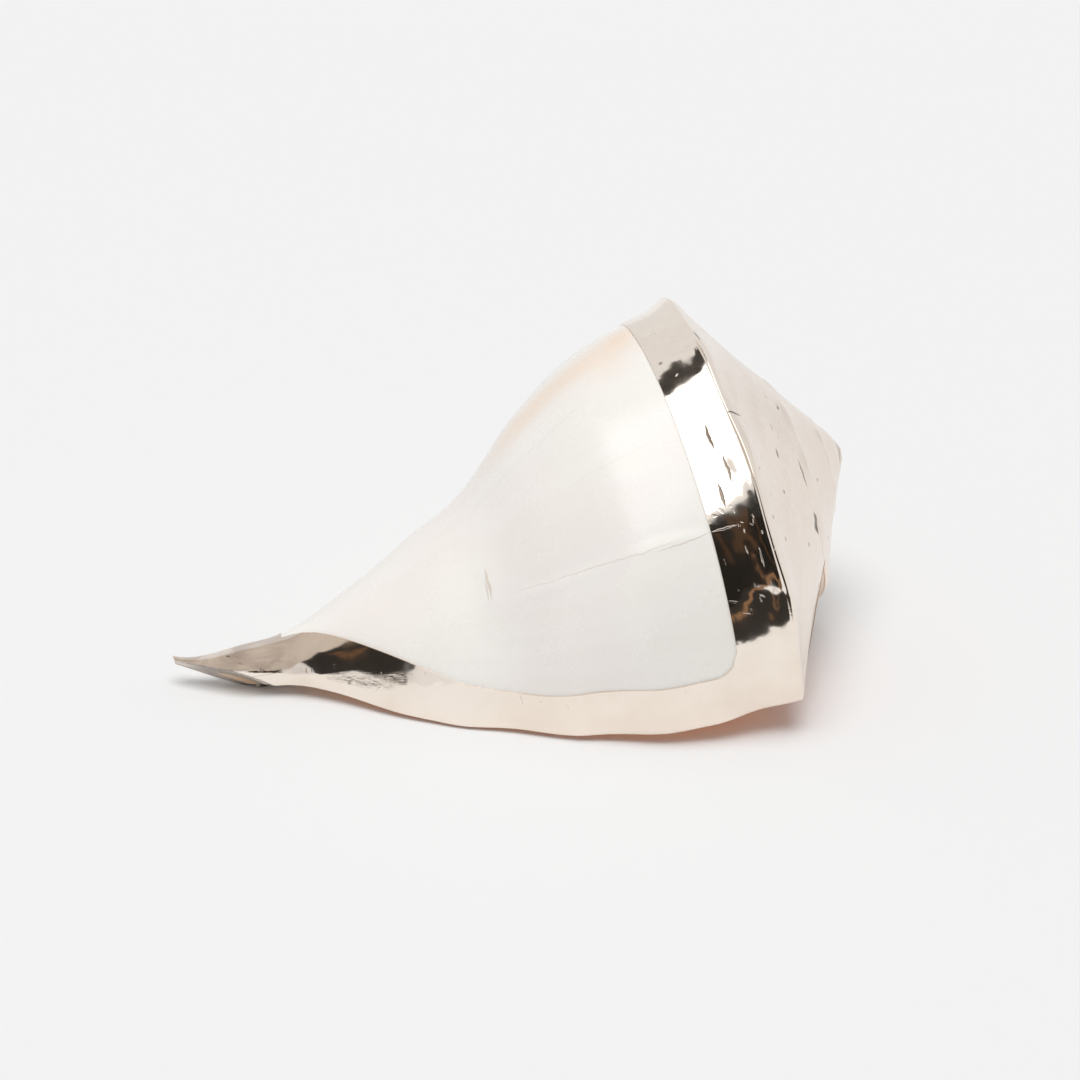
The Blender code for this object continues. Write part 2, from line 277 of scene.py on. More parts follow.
def silverRelief(angle, along):
    degrees = np.degrees(angle)
    reach, radius = section(angle, along)
    relief = plating["wave"] * ripples(radius * angle, reach, plating["waveLength"], 9, 11)
    relief += plating["hammer"] * ripples(radius * angle, reach, plating["hammerLength"], 12, 5)
    relief = relief * (1 - 0.9 * smooth((angle - turn + 0.5) / 1.5))  # the early whorls are smoother
    for at, middle, halfLength, halfWidth, depth in plating["dents"]:
        lengthwise = np.radians(degrees - at) * radius / mm / halfLength
        across = (along / mm - middle) / halfWidth
        relief -= depth * mm * np.exp(-across ** 2 - lengthwise ** 2)
    return relief


whiteFinish = {
    "cool": (0.89, 0.872, 0.830), "warm": (0.91, 0.882, 0.832), "pink": (0.865, 0.80, 0.77),
    "orange": (0.90, 0.70, 0.53), "line": (0.66, 0.56, 0.45), "crack": (0.56, 0.42, 0.29),
    "roughness": (0.20, 0.34),
    "streakDepth": 0.05, "lineDepth": 0.10, "cloudDepth": 0.42, "pinkDepth": 0.7,
    "mottleScale": 22, "cloudScale": 34, "glossScale": 60,
    "grain": 0.008, "creaseHeight": 0.18,
    "creases": [  # round the whorl or not, where, both ends, width, wander, strength, in about centimetres
        (True, 10.97, 4.45, 6.15, 0.040, 0.10, 0.42), (True, 11.04, 4.50, 5.50, 0.020, 0.10, 0.35),
        (False, 4.66, 6.2, 10.9, 0.020, 0.24, 0.24), (False, 4.54, 5.6, 7.4, 0.022, 0.16, 0.36),
        (False, 9.48, 7.0, 11.3, 0.020, 0.30, 0.15), (False, 7.20, 6.2, 9.8, 0.018, 0.30, 0.10)],
}

orangeFinish = {
    "lip": (0.80, 0.50, 0.30), "deep": (0.66, 0.32, 0.13), "stripe": (0.78, 0.44, 0.22),
    # glow is a painted glow of the inside, which also throws orange light on the floor under the lip
    "canal": (0.52, 0.39, 0.28), "roughness": (0.16, 0.30), "glow": 0.24,
    "deepAt": (0.0, 6.0), "canalAt": (13.5, 15.5),  # round the whorl and along it, in about centimetres
    "stripeDepth": 0.5,
}

silverFinish = {
    "bright": (0.95, 0.86, 0.77), "dull": (0.88, 0.78, 0.68), "stain": (0.16, 0.12, 0.09),
    "brushed": (0.885, 0.785, 0.70), "brushedDull": (0.78, 0.685, 0.605), "brushedRoughness": 0.12,
    "brushedTo": (4.30, 4.45),  # along, in centimetres
    "tarnishAndShade": (0.60, 0.51, 0.455), "tarnishAndShadeDepth": 0.75,
    "specks": [  # like the creases of the white
        (True, 5.14, 6.35, 7.10, 0.045, 0.20, 1.0), (True, 4.99, 5.45, 6.20, 0.040, 0.25, 0.9),
        (True, 5.33, 4.95, 5.60, 0.050, 0.25, 0.9), (True, 4.37, 9.45, 9.95, 0.040, 0.20, 0.9),
        (False, 7.08, 4.05, 4.50, 0.045, 0.20, 1.0), (True, 2.24, 8.30, 8.70, 0.045, 0.15, 0.7),
        (True, 3.06, 5.70, 6.15, 0.035, 0.20, 0.8), (True, 2.28, 4.10, 5.60, 0.032, 0.20, 0.8),
        (True, 2.26, 1.85, 3.10, 0.085, 0.25, 1.0), (True, 2.90, 6.80, 7.20, 0.020, 0.20, 0.5),
        (True, 16.2, 4.3, 5.3, 0.040, 0.30, 0.6), (True, 16.8, 9.2, 10.3, 0.050, 0.30, 0.8),
        (True, 16.6, 6.6, 7.6, 0.030, 0.30, 0.5), (True, 15.2, 2.3, 3.3, 0.020, 0.30, 0.5),
        (False, 2.7, 16.1, 17.9, 0.11, 0.9, 0.5), (False, 3.6, 15.6, 17.2, 0.05, 0.9, 0.4)],
    "nicks": [(False, 4.53, 5.15, 5.85, 0.030, 0.20, 1.0), (True, 4.80, 3.4, 3.9, 0.020, 0.20, 0.5)],
    "roughness": (0.045, 0.13), "scratchRoughness": 0.22,
    "ripple": 0.06, "scratch": 0.05, "pitDepth": 0.05, "speckDepth": 0.12, "nickHeight": 0.12,
    "pitShare": 0.6, "grainScale": 40, "patchScale": 30, "glossScale": 70, "rippleScale": 150, "smokeScale": 75,
}


def makeMaterial(name):
    material = bpy.data.materials.new(name)
    material.use_nodes = True
    return material, material.node_tree, material.node_tree.nodes["Principled BSDF"]


def newGroup(name, ins, outs):
    # a node group with named sockets: ins as name: default, outs as names
    tree = bpy.data.node_groups.new(name, "ShaderNodeTree")
    for socket, default in ins.items():
        kind = "NodeSocketVector" if default is None else "NodeSocketFloat"
        made = tree.interface.new_socket(socket, in_out="INPUT", socket_type=kind)
        if default is not None:
            made.default_value = default
    for socket, kind in outs.items():
        tree.interface.new_socket(socket, in_out="OUTPUT", socket_type=kind)
    return tree, tree.nodes.new("NodeGroupInput"), tree.nodes.new("NodeGroupOutput")


def useGroup(tree, group):
    node = tree.nodes.new("ShaderNodeGroup")
    node.node_tree = group
    return node


def noise(tree, vector, scale, detail=3.0, roughness=0.5, stretch=(1, 1, 1), distortion=0.0):
    mapping = tree.nodes.new("ShaderNodeMapping")
    mapping.inputs["Scale"].default_value = stretch
    tree.links.new(vector, mapping.inputs["Vector"])
    node = tree.nodes.new("ShaderNodeTexNoise")
    node.inputs["Scale"].default_value = scale
    node.inputs["Detail"].default_value = detail
    node.inputs["Roughness"].default_value = roughness
    node.inputs["Distortion"].default_value = distortion
    tree.links.new(mapping.outputs["Vector"], node.inputs["Vector"])
    return node.outputs["Fac"]


def between(tree, value, low, high, toLow=0.0, toHigh=1.0):
    node = tree.nodes.new("ShaderNodeMapRange")
    node.interpolation_type = "SMOOTHSTEP"
    for socket, number in zip(("From Min", "From Max", "To Min", "To Max"), (low, high, toLow, toHigh)):
        node.inputs[socket].default_value = number
    tree.links.new(value, node.inputs["Value"])
    return node.outputs["Result"]


def math2(tree, operation, a, b):
    node = tree.nodes.new("ShaderNodeMath")
    node.operation = operation
    for socket, value in zip(node.inputs, (a, b)):
        if isinstance(value, (int, float)):
            socket.default_value = value
        else:
            tree.links.new(value, socket)
    return node.outputs["Value"]


def mixColor(tree, factor, a, b):
    node = tree.nodes.new("ShaderNodeMix")
    node.data_type = "RGBA"
    for socket, value in zip((node.inputs["Factor"], node.inputs[6], node.inputs[7]), (factor, a, b)):
        if isinstance(value, tuple):
            socket.default_value = (*value, 1)
        elif isinstance(value, (int, float)):
            socket.default_value = value
        else:
            tree.links.new(value, socket)
    return node.outputs[2]


def attribute(tree, name, output):
    node = tree.nodes.new("ShaderNodeAttribute")
    node.attribute_name = name
    return node.outputs[output]


def growthBands():
    # pale and dark bands that follow the growing edge, and thin lines among them
    floats = "NodeSocketFloat"
    tree, ins, outs = newGroup("growthBands", {"Place": None, "Line Share": 0.62},
                               {"Bands": floats, "Lines": floats})
    place = ins.outputs["Place"]
    bands = noise(tree, place, 1.0, 5, 0.62, (1.5, 0.16, 1), 0.3)
    tree.links.new(between(tree, bands, 0.32, 0.68), outs.inputs["Bands"])
    fine = noise(tree, place, 1.0, 4, 0.7, (8.0, 0.42, 1), 0.2)
    fades = between(tree, noise(tree, place, 0.5, 2), 0.42, 0.66)
    line = between(tree, math2(tree, "SUBTRACT", fine, ins.outputs["Line Share"]), 0.0, 0.10)
    tree.links.new(math2(tree, "MULTIPLY", line, fades), outs.inputs["Lines"])
    return tree


def hairline():
    # one thin wandering line that tapers to both ends, as a mask
    values = {"Across": 0.0, "Along": 0.0, "At": 1.0, "First": 0.0, "Last": 1.0, "Width": 0.03, "Wander": 0.1}
    tree, ins, outs = newGroup("hairline", values, {"Line": "NodeSocketFloat"})
    value = ins.outputs
    half = math2(tree, "MULTIPLY", math2(tree, "SUBTRACT", value["Last"], value["First"]), 0.5)
    toEnd = math2(tree, "SUBTRACT", value["Along"], math2(tree, "ADD", value["First"], half))
    toEnd = math2(tree, "DIVIDE", toEnd, half)
    taper = math2(tree, "SUBTRACT", 1.0, math2(tree, "MULTIPLY", toEnd, toEnd))
    where = tree.nodes.new("ShaderNodeCombineXYZ")
    tree.links.new(value["Along"], where.inputs["X"])
    tree.links.new(value["At"], where.inputs["Y"])
    swerve = math2(tree, "SUBTRACT", noise(tree, where.outputs["Vector"], 1.6, 5, 0.6), 0.5)
    swerve = math2(tree, "MULTIPLY", swerve, value["Wander"])
    away = math2(tree, "SUBTRACT", math2(tree, "SUBTRACT", value["Across"], value["At"]), swerve)
    away = math2(tree, "DIVIDE", math2(tree, "ABSOLUTE", away, 0.0), value["Width"])
    tree.links.new(between(tree, math2(tree, "SUBTRACT", taper, away), 0.0, 0.5), outs.inputs["Line"])
    return tree


def drawLines(tree, group, place, lines):
    # the strongest of several hairlines: some go round the whorl, the others along it
    split = tree.nodes.new("ShaderNodeSeparateXYZ")
    tree.links.new(place, split.inputs["Vector"])
    total = 0.0
    for goesRound, at, first, last, width, wander, strength in lines:
        node = useGroup(tree, group)
        tree.links.new(split.outputs["Y" if goesRound else "X"], node.inputs["Across"])
        tree.links.new(split.outputs["X" if goesRound else "Y"], node.inputs["Along"])
        for socket, number in zip(("At", "First", "Last", "Width", "Wander"), (at, first, last, width, wander)):
            node.inputs[socket].default_value = number
        total = math2(tree, "MAXIMUM", total, math2(tree, "MULTIPLY", node.outputs["Line"], strength))
    return total


def polishedShell(lineGroup):
    f = whiteFinish
    material, tree, shader = makeMaterial("polishedShell")
    place = attribute(tree, "whorl", "Vector")
    local = tree.nodes.new("ShaderNodeTexCoord").outputs["Object"]
    growth = useGroup(tree, growthBands())
    tree.links.new(place, growth.inputs["Place"])
    mottle = between(tree, noise(tree, local, f["mottleScale"], 2, 0.5), 0.2, 0.8)
    color = mixColor(tree, mottle, f["cool"], f["warm"])
    clouds = noise(tree, local, f["cloudScale"], 1, 0.5, (1, 1.7, 1))
    clouds = between(tree, clouds, 0.38, 0.70, 0.0, f["cloudDepth"])
    color = mixColor(tree, clouds, color, f["pink"])
    # the shell's own pink, and painted shade on the left of the body
    pink = math2(tree, "MULTIPLY", attribute(tree, "pinkTintAndShade", "Fac"), f["pinkDepth"])
    color = mixColor(tree, pink, color, f["pink"])
    color = mixColor(tree, attribute(tree, "orangeTint", "Fac"), color, f["orange"])
    for output, depth in (("Bands", "streakDepth"), ("Lines", "lineDepth")):
        color = mixColor(tree, math2(tree, "MULTIPLY", growth.outputs[output], f[depth]), color, f["line"])
    creases = drawLines(tree, lineGroup, place, f["creases"])
    color = mixColor(tree, creases, color, f["crack"])
    tree.links.new(color, shader.inputs["Base Color"])
    gloss = between(tree, noise(tree, local, f["glossScale"], 5, 0.65), 0.3, 0.7, *f["roughness"])
    tree.links.new(gloss, shader.inputs["Roughness"])
    bump = tree.nodes.new("ShaderNodeBump")
    bump.inputs["Strength"].default_value = 1.0
    bump.inputs["Distance"].default_value = 0.001
    grain = math2(tree, "MULTIPLY", noise(tree, place, 1.0, 6, 0.65, (14, 2.4, 1)), f["grain"])
    height = math2(tree, "ADD", grain, math2(tree, "MULTIPLY", creases, f["creaseHeight"]))
    tree.links.new(height, bump.inputs["Height"])
    tree.links.new(bump.outputs["Normal"], shader.inputs["Normal"])
    shader.inputs["IOR"].default_value = 1.55
    return material


def orangeInside():
    f = orangeFinish
    material, tree, shader = makeMaterial("orangeInside")
    place = attribute(tree, "whorl", "Vector")
    local = tree.nodes.new("ShaderNodeTexCoord").outputs["Object"]
    split = tree.nodes.new("ShaderNodeSeparateXYZ")
    tree.links.new(place, split.inputs["Vector"])
    depth = between(tree, split.outputs["X"], *f["deepAt"])
    color = mixColor(tree, depth, f["lip"], f["deep"])
    stripes = between(tree, noise(tree, place, 1.0, 5, 0.6, (0.35, 4.5, 1), 0.2), 0.4, 0.62)
    color = mixColor(tree, math2(tree, "MULTIPLY", stripes, f["stripeDepth"]), color, f["stripe"])
    cloud = between(tree, noise(tree, local, 45, 3), 0.45, 0.7, 0.0, 0.3)
    color = mixColor(tree, cloud, color, f["deep"])
    color = mixColor(tree, between(tree, split.outputs["Y"], *f["canalAt"]), color, f["canal"])
    tree.links.new(color, shader.inputs["Base Color"])
    tree.links.new(color, shader.inputs["Emission Color"])  # painted glow: the inside emits its own orange, standing in for daylight that comes through the thin wall
    shader.inputs["Emission Strength"].default_value = f["glow"]
    gloss = between(tree, noise(tree, local, 80, 4), 0.3, 0.7, *f["roughness"])
    tree.links.new(gloss, shader.inputs["Roughness"])
    bump = tree.nodes.new("ShaderNodeBump")
    bump.inputs["Strength"].default_value = 0.2
    bump.inputs["Distance"].default_value = 0.0002
    tree.links.new(noise(tree, place, 1.0, 5, 0.6, (2.0, 14, 1)), bump.inputs["Height"])
    tree.links.new(bump.outputs["Normal"], shader.inputs["Normal"])
    return material


def finePits():
    # sparse round pits, as a mask
    values = {"Place": None, "Scale": 300.0, "Size": 0.16}
    tree, ins, outs = newGroup("finePits", values, {"Pits": "NodeSocketFloat"})
    cells = tree.nodes.new("ShaderNodeTexVoronoi")
    tree.links.new(ins.outputs["Place"], cells.inputs["Vector"])
    tree.links.new(ins.outputs["Scale"], cells.inputs["Scale"])
    split = tree.nodes.new("ShaderNodeSeparateColor")
    tree.links.new(cells.outputs["Color"], split.inputs["Color"])
    few = between(tree, split.outputs["Red"], 0.90, 0.95)
    near = math2(tree, "LESS_THAN", cells.outputs["Distance"], ins.outputs["Size"])
    tree.links.new(math2(tree, "MULTIPLY", few, near), outs.inputs["Pits"])
    return tree


def fineScratches():
    # hairlines in a few directions, as a mask
    values = {"Place": None, "Share": 0.70}
    tree, ins, outs = newGroup("fineScratches", values, {"Scratches": "NodeSocketFloat"})
    total = None
    for turned, stretch in ((0.3, (2.2, 160, 40)), (1.4, (150, 3.0, 50)), (2.3, (3.0, 190, 60))):
        rotate = tree.nodes.new("ShaderNodeVectorRotate")
        rotate.inputs["Axis"].default_value = (0.3, 0.5, 1)
        rotate.inputs["Angle"].default_value = turned
        tree.links.new(ins.outputs["Place"], rotate.inputs["Vector"])
        lines = noise(tree, rotate.outputs["Vector"], 6.0, 2, 0.5, stretch)
        lines = between(tree, math2(tree, "SUBTRACT", lines, ins.outputs["Share"]), 0.0, 0.05)
        total = lines if total is None else math2(tree, "MAXIMUM", total, lines)
    tree.links.new(total, outs.inputs["Scratches"])
    return tree


def warmSilver(lineGroup):
    f = silverFinish
    material, tree, shader = makeMaterial("warmSilver")
    shader.inputs["Metallic"].default_value = 1.0
    local = tree.nodes.new("ShaderNodeTexCoord").outputs["Object"]
    dull = between(tree, noise(tree, local, f["grainScale"], 4, 0.6), 0.35, 0.7)
    color = mixColor(tree, dull, f["bright"], f["dull"])
    place = attribute(tree, "whorl", "Vector")
    split = tree.nodes.new("ShaderNodeSeparateXYZ")
    tree.links.new(place, split.inputs["Vector"])
    spire = between(tree, split.outputs["Y"], *f["brushedTo"], 1.0, 0.0)
    fibres = between(tree, noise(tree, place, 1.0, 5, 0.65, (3, 16, 1), 0.4), 0.38, 0.66)
    brushed = math2(tree, "ADD", math2(tree, "MULTIPLY", dull, 0.35), math2(tree, "MULTIPLY", fibres, 0.5))
    color = mixColor(tree, spire, color, mixColor(tree, brushed, f["brushed"], f["brushedDull"]))
    # tarnish and painted shade: smoky darker silver near the canal tip, which also dims a reflected highlight
    smoke = noise(tree, local, f["smokeScale"], 4, 0.55, (1, 1.8, 1.8), 0.8)
    smoke = between(tree, smoke, 0.40, 0.62, 0.25, 1.0)
    tarnishAndShadeMask = math2(tree, "MULTIPLY", attribute(tree, "tarnishAndShade", "Fac"), f["tarnishAndShadeDepth"])
    color = mixColor(tree, math2(tree, "MULTIPLY", smoke, tarnishAndShadeMask), color, f["tarnishAndShade"])
    pits = useGroup(tree, finePits())
    tree.links.new(local, pits.inputs["Place"])
    specks = drawLines(tree, lineGroup, place, f["specks"])
    bright = drawLines(tree, lineGroup, place, f["nicks"])
    stain = math2(tree, "MAXIMUM", math2(tree, "MULTIPLY", pits.outputs["Pits"], f["pitShare"]), specks)
    stain = math2(tree, "MAXIMUM", stain, attribute(tree, "stain", "Fac"))
    scratchy = noise(tree, place, 9, 4, 0.6, (2.4, 0.8, 1), 1.2)
    scuff = math2(tree, "MULTIPLY", attribute(tree, "scuff", "Fac"), between(tree, scratchy, 0.50, 0.56))
    stain = math2(tree, "MAXIMUM", stain, scuff)
    color = mixColor(tree, stain, color, f["stain"])
    tree.links.new(color, shader.inputs["Base Color"])
    scratches = useGroup(tree, fineScratches())
    tree.links.new(local, scratches.inputs["Place"])
    patches = between(tree, noise(tree, local, f["patchScale"], 3), 0.45, 0.62, 0.15, 1.0)
    scratched = math2(tree, "MULTIPLY", scratches.outputs["Scratches"], patches)
    gloss = between(tree, noise(tree, local, f["glossScale"], 5, 0.6), 0.3, 0.7, *f["roughness"])
    gloss = math2(tree, "ADD", gloss, math2(tree, "MULTIPLY", scratched, f["scratchRoughness"]))
    gloss = math2(tree, "ADD", gloss, math2(tree, "MULTIPLY", spire, f["brushedRoughness"]))
    tree.links.new(gloss, shader.inputs["Roughness"])
    ripple = noise(tree, local, f["rippleScale"], 2, 0.45)
    height = math2(tree, "ADD", math2(tree, "MULTIPLY", ripple, f["ripple"]),
                   math2(tree, "MULTIPLY", scratched, -f["scratch"]))
    height = math2(tree, "SUBTRACT", height, math2(tree, "MULTIPLY", pits.outputs["Pits"], f["pitDepth"]))
    rough = math2(tree, "MAXIMUM", scuff, specks)
    height = math2(tree, "SUBTRACT", height, math2(tree, "MULTIPLY", rough, f["speckDepth"]))
    height = math2(tree, "ADD", height, math2(tree, "MULTIPLY", bright, f["nickHeight"]))
    bump = tree.nodes.new("ShaderNodeBump")
    bump.inputs["Strength"].default_value = 1.0
    bump.inputs["Distance"].default_value = 0.001
    tree.links.new(height, bump.inputs["Height"])
    tree.links.new(bump.outputs["Normal"], shader.inputs["Normal"])
    return material


def newMesh(name, verts, faces, inside=False):
    mesh = bpy.data.meshes.new(name)
    mesh.from_pydata([tuple(v) for v in verts], [], faces)
    bm = bmesh.new()
    bm.from_mesh(mesh)
    bmesh.ops.recalc_face_normals(bm, faces=bm.faces)
    bmesh.ops.triangulate(bm, faces=bm.faces)
    bm.to_mesh(mesh)
    bm.free()
    if inside:
        mesh.polygons.foreach_set("material_index", np.ones(len(mesh.polygons), np.int32))
    mesh.shade_smooth()
    item = bpy.data.objects.new(name, mesh)
    bpy.context.collection.objects.link(item)
    return item


def tubeFaces(rings, sides):
    faces = []
    for i in range(rings - 1):
        for j in range(sides):
            k = (j + 1) % sides
            faces.append([i * sides + j, i * sides + k, (i + 1) * sides + k, (i + 1) * sides + j])
    faces.append(list(range(sides)))
    faces.append(list(range((rings - 1) * sides, rings * sides)))
    return faces


detail = {
    "rows": 7,  # between two points of the outline
    "step": 1.25,  # degrees between two columns
    "lipColumns": [0, 0.08, 0.2, 0.36, 0.56, 0.8, 1.1, 1.5, 2.0, 2.7, 3.6, 4.5, 5.4, 6.3, 7.2, 8.1, 9.0],
}


def outerForm(name, grow, relief, rowsPer, step):
    # the closed outside, rounded over at the lip, with a flat face across the plane of the aperture
    outline, covered = lipOutline(rowsPer)
    rows = len(outline)
    first = detail["lipColumns"]
    turnAngles = np.radians(np.concatenate([first, np.arange(first[-1] + step, 360 - step / 2, step)]))
    columns = len(turnAngles)
    last = columns * whorl["turns"]
    angles = np.array([turn * (i // columns) + turnAngles[i % columns] for i in range(last + 1)])
    along = outline[:, 0]
    lip = room["lipRound"]
    points = []
    for i, angle in enumerate(angles):
        used = along if i <= columns else along[:covered + 1]
        arc = section(angle, used)[1] * angle
        ahead = grow * np.clip(1 - arc / lip, 0, 1)
        sine = np.clip((lip - arc + ahead) / (lip + grow), 0, 1)
        distance = (lip + grow) * np.sqrt(1 - sine ** 2) - lip
        if relief:
            distance = distance + relief(angle, used)
        if i == columns:
            ahead = np.where(np.arange(rows) >= covered, grow, 0.0)
        ring = grid(angle, used, distance, ahead)
        points.append(ring)
    verts = []
    index = {}
    for i in range(last + 1):
        for j in range(1, len(points[i])):
            index[i, j] = len(verts)
            verts.append(points[i][j])
        if i > last - columns:
            index[i, 0] = len(verts)
            verts.append(points[i][0])
    for i in range(last - columns + 1):
        index[i, 0] = index[i + columns, covered]
    faces = []
    for i in range(last):
        for j in range(rows - 1 if i < columns else covered):
            faces.append([index[i, j], index[i + 1, j], index[i + 1, j + 1], index[i, j + 1]])
    for j in range(1, covered):
        faces.append([index[0, 0], index[0, j], index[0, j + 1]])
    for j in range(covered, rows - 1):
        faces.append([index[0, j], index[columns, j], index[columns, j + 1], index[0, j + 1]])
    faces.append([index[i, rows - 1] for i in range(columns + 1)])
    apex = len(verts)
    verts.append((grow - whorl["apexBlunt"], 0, 0))
    loop = [index[i, 0] for i in range(last - columns, last + 1)] + [index[last, j] for j in range(1, covered)]
    for a, b in zip(loop, loop[1:] + loop[:1]):
        faces.append([a, b, apex])
    return newMesh(name, verts, faces)


def hollowForm():
    outer = np.linspace(0, 1, 70)
    inner = np.linspace(1, 0, 44)
    start, end = math.radians(room["start"]), math.radians(room["end"])
    angles = np.concatenate([np.linspace(start, -0.002, 6), np.radians(detail["lipColumns"]),
                             np.arange(math.radians(10.2), end, math.radians(1.5))])
    verts = []
    for angle in angles:
        deep = smooth(angle / turn)
        before = smooth(-angle / -start)  # it narrows ahead of the lip
        foot = room["foot"] - room["footDeep"] * deep - room["footAhead"] * before
        top = room["top"] + room["topAhead"] * before
        wallAlong = top + (foot - top) * outer ** 1.1
        coreTop = room["core"] + room["coreAhead"] * before
        coreAlong = coreTop + (foot + room["corePastFoot"] - coreTop) * inner
        arc = section(angle, wallAlong)[1] * max(angle, 0)
        into = np.clip(1 - arc / room["lipRound"], 0, 1)
        lipFlare = 0.85 * room["lipRound"] * (1 - np.sqrt(1 - into ** 2))
        wall = grid(angle, wallAlong, -room["wall"] * (1 - 0.3 * deep) + lipFlare)
        glaze = room["glaze"] * (0.25 + 0.75 * smooth((angle + 0.1) / 0.5))
        reach, radius = section(angle + turn, coreAlong)
        wallReach, wallRadius = section(angle, wallAlong)
        radius = np.minimum(radius + glaze, 0.6 * np.interp(reach, wallReach, wallRadius - room["wall"]))
        core = inShell(reach, radius, angle)
        verts += list(wall) + list(core)
    return newMesh("hollow", verts, tubeFaces(len(angles), len(outer) + len(inner)), inside=True)


def gutterForm():
    sides = 40
    gutter = curveThrough(room["gutter"], [8] * (len(room["gutter"]) - 1)) * mm
    verts = []
    for reach, radius, centre in gutter:
        x, y, z = inShell(np.array(reach), np.array(centre), room["gutterAngle"])
        for side in range(sides):
            around = turn * side / sides
            verts.append((x, y + radius * math.sin(around), z + radius * math.cos(around)))
    return newMesh("gutter", verts, tubeFaces(len(gutter), sides), inside=True)


def endCutter():
    bm = bmesh.new()
    bmesh.ops.create_cube(bm, size=1.0)
    bmesh.ops.translate(bm, verts=bm.verts, vec=(0.5, 0, 0))
    bmesh.ops.scale(bm, verts=bm.verts, vec=(40 * mm, 60 * mm, 60 * mm))
    facing = Vector((-math.sin(room["endSlope"]), -math.cos(room["endSlope"]) * math.sin(room["endAngle"]),
                     -math.cos(room["endSlope"]) * math.cos(room["endAngle"])))
    turned = Matrix.Translation((-room["endAt"], 0, 0)) @ facing.to_track_quat("X", "Z").to_matrix().to_4x4()
    bmesh.ops.transform(bm, matrix=turned, verts=bm.verts)
    bmesh.ops.triangulate(bm, faces=bm.faces)
    mesh = bpy.data.meshes.new("canalEnd")
    bm.to_mesh(mesh)
    silvered = np.full(len(mesh.polygons), 2, np.int32)  # the cut end gets the third finish
    mesh.polygons.foreach_set("material_index", silvered)
    bm.free()
    item = bpy.data.objects.new("canalEnd", mesh)
    bpy.context.collection.objects.link(item)
    return item


def bareForm():
    first = plating["bareFrom"]
    alongs = np.concatenate([first + plating["corner"] * np.linspace(0, 1, 14) ** 1.8,
                             np.linspace(first + plating["corner"] + 1.2 * mm, plating["bareTo"], 90)])
    starts = rimAngle(alongs)
    columns = 300
    verts = []
    for i in range(columns + 1):
        angles = starts + (plating["bareEnd"] - starts) * i / columns
        verts += list(grid(angles, alongs, -1.6 * mm)) + list(grid(angles, alongs, 2.2 * mm)[::-1])
    return newMesh("bare", verts, tubeFaces(columns + 1, 2 * len(alongs)))


def cutAway(item, cutters):
    for cutter in cutters:
        boolean = item.modifiers.new(cutter.name, "BOOLEAN")
        boolean.operation = "DIFFERENCE"
        boolean.solver = "MANIFOLD"
        boolean.object = cutter
    graph = bpy.context.evaluated_depsgraph_get()
    made = bpy.data.meshes.new_from_object(item.evaluated_get(graph))
    item.modifiers.clear()
    item.data = made
    made.shade_smooth()
    made.set_sharp_from_angle(angle=math.radians(35))


hollow, gutter, canalEnd, bare = hollowForm(), gutterForm(), endCutter(), bareForm()
whelkShell = outerForm("whelkShell", -0.15 * mm, whiteRelief, detail["rows"], detail["step"])
silverSkin = outerForm("silverSkin", plating["proud"], silverRelief, detail["rows"], detail["step"])
underSkin = outerForm("underSkin", plating["under"], None, 4, 3.0)
lineGroup = hairline()
white, orange, silver = polishedShell(lineGroup), orangeInside(), warmSilver(lineGroup)
print("solids and finishes made")
for item in (whelkShell, hollow, gutter, canalEnd):
    for material in (white, orange, silver):
        item.data.materials.append(material)
cutAway(whelkShell, [hollow, gutter, canalEnd])
silverSkin.data.materials.append(silver)
cutAway(silverSkin, [underSkin, hollow, gutter, canalEnd, bare])
for helper in (hollow, gutter, canalEnd, bare, underSkin):
    bpy.data.objects.remove(helper, do_unlink=True)
print("shell and silver skin cut")


def blob(degrees, along, at, middle, wide, long):
    return np.exp(-((degrees - at) / wide) ** 2 - ((along / mm - middle) / long) ** 2)


def nearer(spots, found):
    # slides each found place along the surface to where the vertex really is
    angle, at = found[:, 0], found[:, 1]
    here = grid(angle, at, 0.0)
    byAngle = (grid(angle + 1e-3, at, 0.0) - here) / 1e-3
    byAlong = (grid(angle, at + 1e-5, 0.0) - here) / 1e-5
    off = spots - here
    a, b, c = (byAngle ** 2).sum(axis=1), (byAngle * byAlong).sum(axis=1), (byAlong ** 2).sum(axis=1)
    u, v = (off * byAngle).sum(axis=1), (off * byAlong).sum(axis=1)
    spread = a * c - b * b + 1e-18
    return (angle + np.clip((c * u - b * v) / spread, -0.04, 0.04),
            at + np.clip((a * v - b * u) / spread, -2 * mm, 2 * mm))


